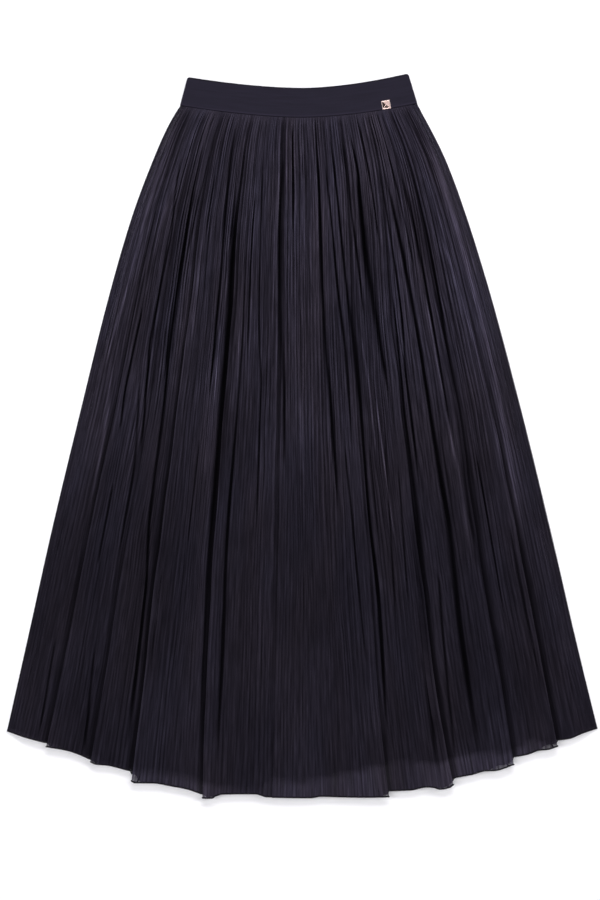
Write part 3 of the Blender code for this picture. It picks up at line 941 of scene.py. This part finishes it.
def cloth_colour(tree, uv, painted_shading):
    """Painted shade in valleys and painted highlight on crowns, with uneven hue, streaks of painted
    light and shade along the pleats and fine lines of painted shade.
    """
    # Painted shade in valleys and painted highlight on crowns, from the relief mark
    relief = map_range(tree, attribute(tree, "relief"), -1.0, 1.0, 0.0, 1.0)
    colour = ramp(tree, relief, *PAINTED_SHADE_VALLEY_TO_CROWN)
    hue = noise(tree, uv, 16.0, 2.0, 0.3)
    hue = ramp(tree, hue, (0.35, (1.03, 0.97, 1.00)), (0.65, (0.97, 0.975, 1.09)))
    mottle = ramp(tree, noise(tree, uv, 13.0, 1.0, 0.4), (0.38, grey(0.86)), (0.62, grey(1.14)))
    # Streaks of painted light and shade along the pleats
    streak = ramp(tree, noise(tree, uv, 430.0, 3.0, 0.07), (0.36, grey(0.42)), (0.64, grey(1.58)))
    drop = vertical(tree, uv)
    colour = multiplied(tree, colour, hue)
    colour = multiplied(tree, colour, mottle)
    # The painted streaks are weaker lower down
    colour = multiplied(tree, colour, streak, map_range(tree, drop, 0.1, 0.6, 0.65, 0.36))
    # Fine lines of painted shade, in patches, weaker lower down
    patches = map_range(tree, noise(tree, uv, 34.0, 2.0, 0.25), 0.35, 0.65, 0.35, 1.0)
    crisp = product(tree, patches, map_range(tree, drop, 0.35, 0.85, 1.0, 0.62))
    colour = multiplied(tree, colour, fine_lines(tree, uv), crisp)
    # Times the cloth's painted light and shade
    return multiplied(tree, colour, painted_shading)


def sheer_material():
    """Dark sheer crinkled cloth, whose gloss follows its painted light and shade."""
    material, tree, shader = new_material("sheer_crinkle", (0.012, 0.011, 0.016), 0.5)
    set_sockets(shader, Specular_Tint=(0.85, 0.72, 1.0, 1.0))
    set_sockets(shader, Sheen_Weight=0.012, Sheen_Roughness=0.4, Sheen_Tint=(0.66, 0.60, 0.80, 1.0))
    uv = coordinates(tree, "UV")
    painted_shading = attribute(tree, "painted_shading")
    tree.links.new(cloth_colour(tree, uv, painted_shading), shader.inputs["Base Color"])
    # Less gloss where painted shade darkens the cloth, more where painted light lightens it
    gloss = map_range(tree, painted_shading, 0.1, 0.9, 0.012, 0.066)
    tree.links.new(gloss, shader.inputs["Specular IOR Level"])
    threads = map_range(tree, noise(tree, uv, 260.0, 3.0, 0.05), 0.36, 0.64, 0.71, 0.97)
    cover = product(tree, threads, attribute(tree, "veil"))
    tree.links.new(cover, shader.inputs["Alpha"])
    crepe = bump(tree, shader, noise(tree, uv, 1400.0, 2.0, 0.4), 0.3, 0.0003)
    bump(tree, shader, noise(tree, uv, 320.0, 3.0, 0.09), 0.8, 0.0009, crepe)
    return material


def lining_material():
    colour = (0.0066, 0.006, 0.0094)
    material, tree, shader = new_material("lining_weave", colour, 0.6, Specular_IOR_Level=0.04)
    uv = coordinates(tree, "UV")
    dark, light = (0.0056, 0.0050, 0.0080), (0.0078, 0.0070, 0.0110)
    shade = ramp(tree, noise(tree, uv, 300.0, 2.0, 0.1), (0.3, dark), (0.7, light))
    tree.links.new(shade, shader.inputs["Base Color"])
    bump(tree, shader, noise(tree, uv, 2500.0, 1.0), 0.3, 0.0002)
    return material


def band_material():
    """Firm cloth with faint rows, a stitch line and a top edge line along the band."""
    material, tree, shader = new_material("waistband_weave", (0.0112, 0.0098, 0.0165), 0.62)
    set_sockets(shader, Specular_IOR_Level=0.07)
    set_sockets(shader, Sheen_Weight=0.012, Sheen_Roughness=0.5, Sheen_Tint=(0.6, 0.56, 0.72, 1.0))
    uv = coordinates(tree, "UV")
    rows = noise(tree, uv, 300.0, 2.0, across=0.06)
    shade = ramp(tree, rows, (0.35, (0.0101, 0.0085, 0.0165)), (0.65, (0.0125, 0.0106, 0.0204)))
    rise = map_range(tree, vertical(tree, uv), 0.0, BAND_HEIGHT * METRES, 0.0, 1.0)
    shade = multiplied(tree, shade, ramp(tree, rise, *BAND_LINES))
    tree.links.new(shade, shader.inputs["Base Color"])
    weave = bump(tree, shader, noise(tree, uv, 1500.0, 2.0), 0.3, 0.0003)
    bump(tree, shader, rows, 0.25, 0.0005, weave)
    return material


def roll_material():
    colour = (0.006, 0.0054, 0.0084)
    material, tree, shader = new_material("hem_thread", colour, 0.6, Specular_IOR_Level=0.05)
    spot = coordinates(tree, "Object")
    dark, light = (0.0044, 0.0039, 0.0062), (0.0080, 0.0072, 0.0110)
    shade = ramp(tree, noise(tree, spot, 700.0, 2.0), (0.3, dark), (0.7, light))
    tree.links.new(shade, shader.inputs["Base Color"])
    bump(tree, shader, noise(tree, spot, 1800.0, 1.0), 0.4, 0.0003)
    return material


def metal_material():
    material, tree, shader = new_material("stud_pink_gold", (0.80, 0.58, 0.54), 0.2, Metallic=1.0)
    spot = coordinates(tree, "Object")
    rough = map_range(tree, noise(tree, spot, 900.0, 3.0, 0.15), 0.3, 0.7, 0.10, 0.20)
    tree.links.new(rough, shader.inputs["Roughness"])
    return material


def finish_piece(piece, material, slot, *nodes):
    """Gives a piece its material and its body, and hides the CAD nodes it stands for."""
    piece.data.materials.append(material)
    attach(piece, "root")
    if nodes:
        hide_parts(*nodes)


def make_front(cloth, thread):
    x, y, z, across, down, form, painted_shading, veil = front_points()
    # The relief mark sets painted shade in hollows and a painted highlight on crowns; the next mark
    # carries the cloth's painted light and shade
    marks = {"relief": concavity(form), "painted_shading": painted_shading, "veil": veil}
    front = grid_object("front_cloth", x, y, z, across * HEM_WIDTH, down, **marks)
    finish_piece(front, cloth, "outer_cloth", "skirt_front")
    path = np.stack((x[-1], y[-1] + HEM_ROLL, z[-1]), axis=1)
    roll = tube("front_hem_roll", path, HEM_ROLL)
    finish_piece(roll, thread, "outer_cloth")


def make_back(cloth, thread):
    rows = np.concatenate((BACK_TOP_ROWS, np.linspace(MAIN_ROWS_FROM, HEM.down, BACK_MAIN_ROWS)))
    down, across = np.meshgrid(rows, np.linspace(0.0, 1.0, BACK_COLUMNS), indexing="ij")
    x, y = place(down, across)
    seen = np.interp(x[-1:], *zip(*[edge for line in HEM_LINES for edge in line]))
    hem = np.maximum(spread(seen, BACK_HEM_RUN), seen) + BACK_HEM_RISE
    for notch in BACK_NOTCHES:
        hem = hem + notch.rise * np.exp(-(((x[-1:] - notch.x) / notch.half) ** 2))
    y = y + (hem - y[-1:]) * (down / HEM.down) ** HEM_SHIFT_POWER
    ridge = ridges(across, uneven_edges(BACK_PLEATS, PLEAT_WIDTHS), 1.0)[0]
    groove = np.clip((1 - ridge - BACK_FLAT_SHARE) / (1 - BACK_FLAT_SHARE), 0.0, 1.0)
    depth = np.minimum(BACK_GROOVE, row_value("pleat", down)) * rolled(across)
    depth *= GROOVE_MIDDLE + GROOVE_UNEVENNESS * streaks(across, down, BACK_GROOVE_CELLS)
    grown = ease(down / CRINKLE_START) * rolled(across)
    crinkle = BACK_CRINKLE * (1 + streaks(across, down, BACK_CRINKLE_CELLS)) * grown
    z = BACK_FOOT + groove * depth + crinkle
    # Painted shade darker towards the hem, and painted shade and highlight from the back's relief with
    # hollows and crowns swapped
    painted_shading = through(*zip(*PAINTED_LIGHT_BY_DROP), down)
    marks = {"relief": -concavity(z, BACK_CONTRAST), "painted_shading": painted_shading, "veil": 1 + 0 * x}
    back = grid_object("back_cloth", x, y, z, across * HEM_WIDTH, down, **marks)
    finish_piece(back, cloth, "outer_cloth", "skirt_back")
    radius = HEM_ROLL * BACK_HEM_ROLL_SHARE
    path = np.stack((x[-1], y[-1], np.maximum(z[-1], radius)), axis=1)
    roll = tube("back_hem_roll", path[::2], radius)
    finish_piece(roll, thread, "outer_cloth")


def make_side_seams(thread):
    for name, across in (("side_seam_left", 0.0), ("side_seam_right", 1.0)):
        down = np.linspace(SIDE_SEAM_FROM, HEM.down, SIDE_SEAM_POINTS)
        x, y = place(down, across + 0 * down)
        z = SIDE_SEAM_HEIGHT + 0 * x
        inward = SIDE_SEAM_ROLL * (1 if across == 0.0 else -1)
        seam = tube(name, np.stack((x + inward, y, z), axis=1), SIDE_SEAM_ROLL)
        finish_piece(seam, thread, "outer_cloth")


def make_linings(weave):
    share = np.concatenate((LINING_TOP_SHARES, np.linspace(*LINING_MAIN_SHARES)))
    inner = 0.5 + (np.linspace(0.0, 1.0, LINING_COLUMNS) - 0.5) * LINING_SHARE
    share, across = np.meshgrid(share, inner, indexing="ij")
    for layer, name in enumerate(("back_lining", "front_lining")):
        hem_x, hem_y = place(np.full_like(across, HEM.down), across)
        stop = np.interp(hem_x, *zip(*LINING_HEM))
        short = np.maximum(stop - hem_y, LEAST_SHORT) + (BACK_LINING_SHORT if layer == 0 else 0.0)
        down = SEAM.down + share * (HEM.down - short - SEAM.down)
        x, y = place(down, across)
        inside = rolled(across)
        height = back_top(down) + SEAM_GAP + WALL / 2 + layer * (WALL + SEAM_GAP)
        z = between(LINING_EDGE + LINING_EDGE_STEP * layer, height, inside)
        z = z + LINING_WAVE * streaks(across, down, LINING_CELLS[layer]) * inside
        sheet = grid_object(name, x, y, z, across * HEM_WIDTH, down)
        finish_piece(sheet, weave, "lining_cloth", f"lining_{name.split('_')[0]}")


def band_point(share, across, layer):
    """Place in the middle of a waistband wall. share is 0 at the seam and 1 at the top."""
    values = (between(getattr(SEAM, name), getattr(BAND_TOP, name), share) for name in EDGE_FIELDS)
    x, lift, reach = on_row(*values, across)
    corner = np.maximum(0.0, share * BAND_HEIGHT - BAND_HEIGHT + BAND_CORNER)
    pull = BAND_CORNER - np.sqrt(np.maximum(0.0, BAND_CORNER**2 - corner**2))
    y = BAND_HEIGHT * share + lift
    x = x * (1 - pull / reach)
    z = BAND_WALL / 2 + 0 * x
    if layer == 1:
        z = z + BAND_WALL + SEAM_GAP + BAND_SLACK * (1.0 - share)
    return x, y, z


def make_waistband(cloth):
    share = np.concatenate((np.linspace(*BAND_CORNER_SHARES), np.linspace(*BAND_MAIN_SHARES)))
    share, across = np.meshgrid(share, np.linspace(0.0, 1.0, BAND_COLUMNS), indexing="ij")
    for layer, name in enumerate(("back", "front")):
        x, y, z = band_point(share, across, layer)
        band = grid_object(f"{name}_band", x, y, z, x, share * BAND_HEIGHT)
        wall = band.modifiers.new("wall", "SOLIDIFY")
        wall.thickness = BAND_WALL * METRES
        wall.offset = 0.0
        wall.use_even_offset = True
        soften(band, "soft edge", BAND_SOFT_EDGE, segments=3, degrees=50)
        finish_piece(band, cloth, "waistband_cloth", f"waistband_{name}")


def make_stud(metal):
    shape = bmesh.new()
    bmesh.ops.create_cube(shape, size=1.0)
    bmesh.ops.scale(shape, vec=(STUD_SIDE, STUD_SIDE, STUD_PLATE), verts=shape.verts)
    top = max(shape.faces, key=lambda face: face.calc_center_median().z)
    bmesh.ops.inset_individual(shape, faces=[top], thickness=STUD_RIM)
    depth = STUD_GROOVE_DEPTH
    bmesh.ops.inset_individual(shape, faces=[top], thickness=STUD_GROOVE, depth=-depth)
    bmesh.ops.poke(shape, faces=[top], offset=STUD_PEAK + depth)
    bmesh.ops.translate(shape, vec=(0, 0, STUD_PLATE / 2), verts=shape.verts)
    bmesh.ops.scale(shape, vec=(METRES,) * 3, verts=shape.verts)
    stud = object_of("pyramid_stud", shape)
    soften(stud, "soft edges", STUD_SOFT_EDGE, segments=2, degrees=20)
    across = (STUD_FOOT_X + SEAM.left) / (SEAM.left + SEAM.right)
    foot = band_point(np.zeros(1), np.array([across]), 1)
    beside = band_point(np.zeros(1), np.array([across + STUD_SLOPE_RUN]), 1)
    turn = math.atan2(beside[1][0] - foot[1][0], beside[0][0] - foot[0][0])
    tilt = math.atan2(BAND_SLACK, BAND_HEIGHT)
    x = foot[0][0] - STUD_UP * math.sin(turn)
    y = foot[1][0] + STUD_UP * math.cos(turn)
    z = foot[2][0] - STUD_UP * math.tan(tilt) + BAND_WALL / 2
    stud.location = Vector((np.array((x, y, z)) + offset()) * METRES)
    stud.rotation_euler = (-tilt, 0.0, turn)
    bpy.context.view_layer.update()
    finish_piece(stud, metal, "stud_metal", "stud")


def make_floor():
    mesh = bpy.data.meshes.new("floor")
    corners = [(FLOOR_REACH * x, FLOOR_REACH * y, 0) for x, y in ((-1, -1), (1, -1), (1, 1), (-1, 1))]
    mesh.from_pydata(corners, [], [(0, 1, 2, 3)])
    floor = new_object("floor", mesh)
    floor.location.z = -FLOOR_GAP
    mesh.materials.append(new_material("paper_white", (0.930, 0.920, 0.955), 0.9)[0])


def area_light(name, place_at, towards, size, power, colour=(1.0, 1.0, 1.0)):
    light = bpy.data.lights.new(name, "AREA")
    light.shape = "RECTANGLE"
    light.size, light.size_y = size
    light.energy = power
    light.color = colour
    lamp = new_object(name, light)
    lamp.location = place_at
    lamp.rotation_euler = (Vector(towards) - Vector(place_at)).to_track_quat("-Z", "Y").to_euler()
    lamp.visible_camera = False


def make_lights():
    """Softboxes and cards: place, what they face, width and height in metres, and watts."""
    area_light("top_softbox", (0.2, 2.1, 2.1), (0, 0.1, 0), (2, 0.9), 60)
    area_light("left_softbox", (-1.7, -0.3, 2), (0, -0.1, 0), (0.9, 1.8), 30)
    area_light("right_softbox", (1.75, 0.3, 1.9), (0, 0, 0), (0.9, 1.8), 26)
    area_light("low_softbox", (0, -1.3, 2.9), (0, -0.6, 0), (2.4, 1.4), 26)
    area_light("top_card", (-0.2, 2.8, 1), (0, 0.2, 0), (2.6, 1.3), 9)
    area_light("right_card", (2.6, 0.9, 1.2), (0, 0.2, 0), (2, 1.3), 7)
    area_light("over_card", (0.28, 1.3, 4.4), (0.15, 0.5, 0), (1.6, 1.6), 8.4, (0.90, 1, 1.04))
    world = bpy.data.worlds.new("studio")
    bpy.context.scene.world = world
    world.use_nodes = True
    set_sockets(world.node_tree.nodes["Background"], Color=(1.0, 1.0, 1.0, 1.0), Strength=0.03)
    bpy.context.scene.view_settings.view_transform = "Standard"


def make_camera():
    camera = bpy.data.cameras.new("camera")
    camera.sensor_width = SENSOR
    camera.lens = SENSOR * CAMERA_HEIGHT / FRAME_HEIGHT
    camera.clip_end = CLIP_END
    lens = new_object("camera", camera)
    middle = offset() + np.array((FRAME_CENTRE_X, -FRAME_CENTRE_DOWN, 0.0))
    lens.location = Vector((middle[0] * METRES, middle[1] * METRES, CAMERA_HEIGHT * METRES))
    bpy.context.scene.camera = lens


def main():
    make_camera()
    make_floor()
    make_lights()
    sheer = sheer_material()
    thread = roll_material()
    make_front(sheer, thread)
    make_back(sheer, thread)
    make_side_seams(thread)
    make_linings(lining_material())
    make_waistband(band_material())
    make_stud(metal_material())


main()
